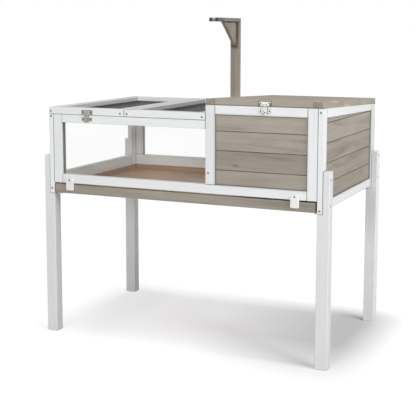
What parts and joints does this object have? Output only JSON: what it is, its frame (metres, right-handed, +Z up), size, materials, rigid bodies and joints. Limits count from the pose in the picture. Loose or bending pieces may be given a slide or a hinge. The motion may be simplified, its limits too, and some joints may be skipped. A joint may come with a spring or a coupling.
{
  "type": "tortoise table",
  "caption": "Indoor tortoise table on four legs: a glazed run under wire-mesh lids, a plank hide with a hinged roof, a pull-out tray and a lamp holder.",
  "frame": {"origin": "on the floor, under the middle of the whole object's box", "axes": "+X along the table to the right as seen from the front, +Y to the back, +Z up"},
  "size_m": [1.148, 0.7066, 1.2295],
  "materials": {
    "white_paint": "satin white paint on fir",
    "taupe_stain": "matt grey-brown stain on fir planks",
    "tray_wood": "brown sealed plywood",
    "clear_sheet": "clear acrylic sheet",
    "black_wire": "black coated welded wire",
    "bright_steel": "bright zinc plate"
  },
  "bodies": {
    "root": {"back_pane": "clear_sheet", "back_planks": "taupe_stain", "back_rail_bottom": "white_paint", "back_rail_hide_top": "white_paint", "back_rail_run_top": "white_paint", "back_stile_left": "white_paint", "back_stile_middle": "white_paint", "back_stile_right": "white_paint", "cross_rail": "white_paint", "front_pane": "clear_sheet", "front_planks": "taupe_stain", "front_rail_bottom": "white_paint", "front_rail_hide_top": "white_paint", "front_rail_run_top": "white_paint", "front_stile_divider": "white_paint", "front_stile_left": "white_paint", "front_stile_right": "white_paint", "lamp_arm": "taupe_stain", "lamp_gusset": "taupe_stain", "lamp_post": "taupe_stain", "left_end_pane": "clear_sheet", "left_end_rail_bottom": "white_paint", "left_end_rail_top": "white_paint", "left_end_stile_back": "white_paint", "left_end_stile_front": "white_paint", "leg_back_left": "white_paint", "leg_back_right": "white_paint", "leg_front_left": "white_paint", "leg_front_right": "white_paint", "lid_hinge_left_fixed_leaf": "bright_steel", "lid_hinge_right_fixed_leaf": "bright_steel", "lid_right_frame": "white_paint", "lid_right_mesh": "black_wire", "partition": "taupe_stain", "right_end_planks": "taupe_stain", "right_end_rail_bottom": "white_paint", "right_end_rail_top": "white_paint", "right_end_stile_back": "white_paint", "right_end_stile_front": "white_paint", "roof_hinge_left_fixed_leaf": "bright_steel", "roof_hinge_right_fixed_leaf": "bright_steel", "tray_runner_left": "white_paint", "tray_runner_right": "white_paint"},
    "lid": {"lid_left_frame": "white_paint", "lid_left_mesh": "black_wire", "lid_hinge_left_moving_leaf": "bright_steel", "lid_hinge_right_moving_leaf": "bright_steel", "lid_hasp_leaf": "bright_steel"},
    "roof": {"roof_deck": "taupe_stain", "roof_hinge_left_moving_leaf": "bright_steel", "roof_hinge_right_moving_leaf": "bright_steel", "roof_hasp_leaf": "bright_steel"},
    "tray": {"tray_front": "taupe_stain", "tray_box": "tray_wood"},
    "button_left": {"turn_button_left": "white_paint"},
    "button_right": {"turn_button_right": "white_paint"},
    "lid_strap": {"lid_hasp_strap": "bright_steel"},
    "roof_strap": {"roof_hasp_strap": "bright_steel"},
    "lid_knob": {"lid_hasp_knob": "bright_steel"},
    "roof_knob": {"roof_hasp_knob": "bright_steel"}
  },
  "joints": [
    {"name": "lid_hinge", "type": "hinge", "parent": "root", "child": "lid", "pos_m": [-0.38625, 0.3391, 0.86], "axis": [-1, 0, 0], "range_deg": [0, 100]},
    {"name": "roof_hinge", "type": "hinge", "parent": "root", "child": "roof", "pos_m": [0.33, 0.3391, 0.888], "axis": [-1, 0, 0], "range_deg": [0, 100]},
    {"name": "tray_slide", "type": "slide", "parent": "root", "child": "tray", "axis": [0, -1, 0], "range_m": [0, 0.45]},
    {"name": "button_left_pivot", "type": "hinge", "parent": "root", "child": "button_left", "pos_m": [-0.4571, -0.344, 0.6082], "axis": [0, -1, 0], "continuous": true},
    {"name": "button_right_pivot", "type": "hinge", "parent": "root", "child": "button_right", "pos_m": [0.4512, -0.344, 0.6082], "axis": [0, -1, 0], "continuous": true},
    {"name": "lid_strap_hinge", "type": "hinge", "parent": "lid", "child": "lid_strap", "pos_m": [-0.38, -0.3471, 0.8628], "axis": [-1, 0, 0], "range_deg": [0, 170]},
    {"name": "roof_strap_hinge", "type": "hinge", "parent": "roof", "child": "roof_strap", "pos_m": [0.337, -0.3471, 0.9188], "axis": [-1, 0, 0], "range_deg": [0, 170]},
    {"name": "lid_knob_turn", "type": "hinge", "parent": "root", "child": "lid_knob", "pos_m": [-0.38, -0.344, 0.8443], "axis": [0, -1, 0], "range_deg": [0, 90]},
    {"name": "roof_knob_turn", "type": "hinge", "parent": "root", "child": "roof_knob", "pos_m": [0.337, -0.344, 0.9003], "axis": [0, -1, 0], "range_deg": [0, 90]}
  ]
}
